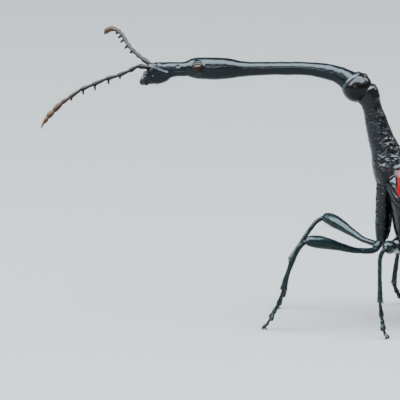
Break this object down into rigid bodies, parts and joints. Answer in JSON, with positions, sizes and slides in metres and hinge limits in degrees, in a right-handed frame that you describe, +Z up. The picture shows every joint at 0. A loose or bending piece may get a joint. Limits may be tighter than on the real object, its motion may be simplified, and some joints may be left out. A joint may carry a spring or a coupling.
{
  "type": "giraffe weevil",
  "caption": "Life-size still model of a male giraffe weevil, standing with its long neck raised and stretched forward.",
  "frame": {"origin": "middle of the footprint box, on the floor between the feet", "axes": "-X the way the head points, -Y the animal's left side, +Z up"},
  "size_m": [0.0252, 0.0124, 0.0159],
  "materials": {
    "black_shell": "glossy black shell with fine cross ridges",
    "neck_shell": "glossy blue-black shell, nearly smooth",
    "leg_shell": "glossy black shell with fine pits and hairs",
    "antenna_horn": "satin black-brown horn, browner at the club",
    "eye": "very glossy dark red-brown facetted eye",
    "wing_case": "glossy red with rows of pits"
  },
  "bodies": {
    "root": {"head": "neck_shell", "neck": "neck_shell", "eye_left": "eye", "eye_right": "eye", "mandible_left": "antenna_horn", "mandible_right": "antenna_horn", "antenna_left": "antenna_horn", "antenna_right": "antenna_horn", "prothorax": "black_shell", "scutellum": "black_shell", "thorax": "black_shell", "abdomen": "black_shell", "elytron_left": "wing_case", "elytron_right": "wing_case", "leg_fore_left": "leg_shell", "leg_fore_right": "leg_shell", "leg_mid_left": "leg_shell", "leg_mid_right": "leg_shell", "leg_hind_left": "leg_shell", "leg_hind_right": "leg_shell"}
  },
  "joints": []
}
